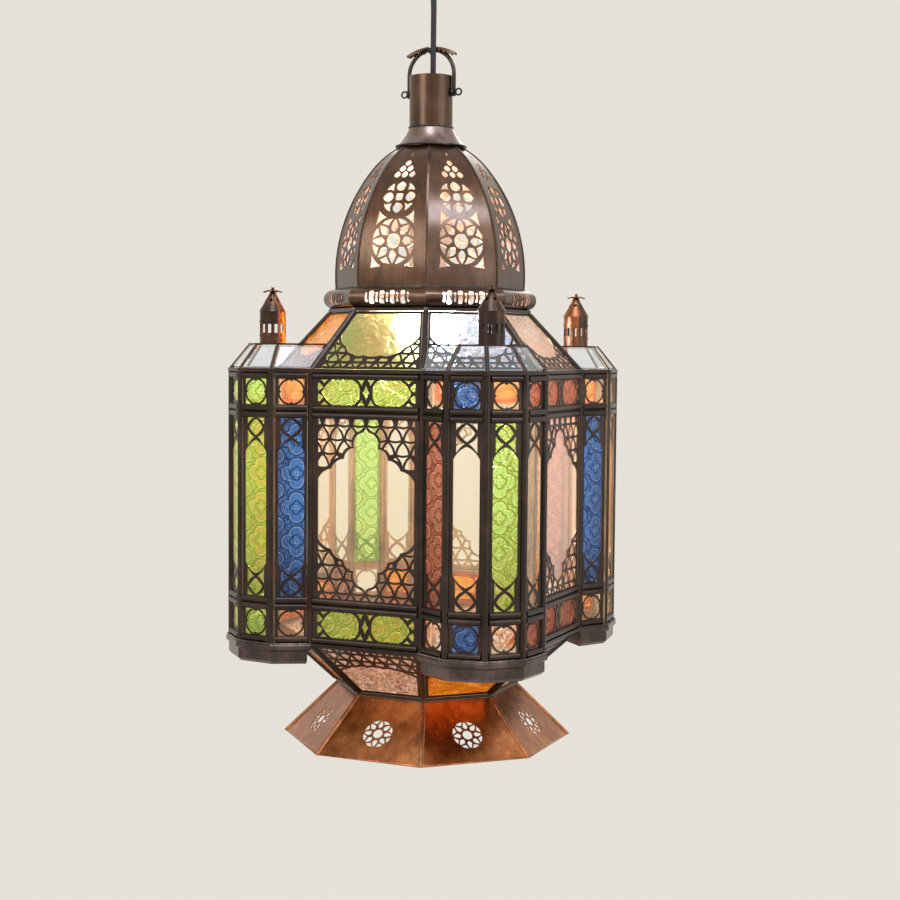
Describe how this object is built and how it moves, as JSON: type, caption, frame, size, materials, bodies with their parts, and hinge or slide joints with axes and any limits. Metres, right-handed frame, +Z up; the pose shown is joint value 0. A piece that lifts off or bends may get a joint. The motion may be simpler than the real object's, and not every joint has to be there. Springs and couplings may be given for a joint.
{
  "type": "hanging lantern",
  "caption": "Octagonal pierced copper hanging lantern with glazed turrets, coloured glass, a pierced dome and a flared skirt, lit by a lamp inside.",
  "frame": {"origin": "middle of the ceiling plate's top face", "axes": "+Z up, the front corner of the eight-sided body towards -Y"},
  "size_m": [0.3858, 0.3858, 0.7908],
  "materials": {
    "black_plastic": "matt black",
    "bright_copper": "lightly oxidised copper sheet",
    "cord_sheath": "matt black sheath",
    "dark_copper": "dark oxidised copper sheet",
    "dark_steel": "dark steel wire",
    "glass_amber": "pressed",
    "glass_blue": "pressed",
    "glass_clear": "clear",
    "glass_green": "pressed",
    "glass_red": "pressed",
    "glass_rose": "hammered",
    "lamp_cap": "bright",
    "lamp_glass": "frosted",
    "warm_copper": "brown oxidised copper sheet"
  },
  "bodies": {
    "suspension": {"ceiling_plate": "dark_steel", "ceiling_hook": "dark_steel", "cord_gland": "black_plastic", "power_cord": "cord_sheath", "hanging_hook": "dark_steel", "bail": "dark_steel", "bail_leaf": "warm_copper"},
    "lantern": {"bail_pins": "dark_steel", "body_rings": "dark_copper", "bulb": "lamp_glass", "bulb_cap": "lamp_cap", "cap_bars": "dark_copper", "cap_glass": "glass_clear", "cap_plates": "dark_copper", "core_posts": "dark_copper", "dome_gores": "warm_copper", "dome_ribs": "warm_copper", "dome_ring": "warm_copper", "finial_stars": "dark_copper", "finials": "dark_copper", "hinge_knuckles": "dark_copper", "hinge_pins": "dark_steel", "lamp_bridge": "dark_copper", "lamp_holder": "black_plastic", "lamp_lead": "cord_sheath", "latch_pin": "dark_steel", "neck_cone": "warm_copper", "neck_tube": "warm_copper", "roof_bars": "dark_copper", "roof_glass_amber": "glass_amber", "roof_glass_blue": "glass_blue", "roof_glass_green": "glass_green", "roof_glass_rose": "glass_rose", "roof_grilles": "dark_copper", "roof_top_ring": "dark_copper", "side_panels": "dark_copper", "skirt_panels": "bright_copper", "skirt_seams": "bright_copper", "taper_bars": "dark_copper", "taper_glass_amber": "glass_amber", "taper_glass_rose": "glass_rose", "taper_grilles": "dark_copper", "turret_1_panels": "dark_copper", "turret_2_panels": "dark_copper", "turret_3_panels": "dark_copper", "turret_4_panels": "dark_copper", "turret_crowns": "dark_copper", "turret_feet": "dark_copper", "turret_posts": "dark_copper", "waist_ring": "dark_copper", "window_glass_amber": "glass_amber", "window_glass_blue": "glass_blue", "window_glass_clear": "glass_clear", "window_glass_green": "glass_green", "window_glass_red": "glass_red", "window_glass_rose": "glass_rose"},
    "door": {"door_panel": "dark_copper", "door_glass": "glass_clear", "door_hinges": "dark_copper"},
    "latch": {"latch_button": "dark_copper"}
  },
  "joints": [
    {"name": "lantern_swing", "type": "hinge", "parent": "suspension", "child": "lantern", "pos_m": [0, 0, -0.155], "axis": [0.9239, -0.3827, 0], "range_deg": [-30, 30]},
    {"name": "door_hinge", "type": "hinge", "parent": "lantern", "child": "door", "pos_m": [0.10128, 0.11124, -0.55495], "axis": [0, 0, -1], "range_deg": [0, 110]},
    {"name": "latch_turn", "type": "hinge", "parent": "lantern", "child": "latch", "pos_m": [0.02696, 0.14349, -0.4617], "axis": [-0.3827, -0.9239, 0], "range_deg": [0, 90]}
  ]
}
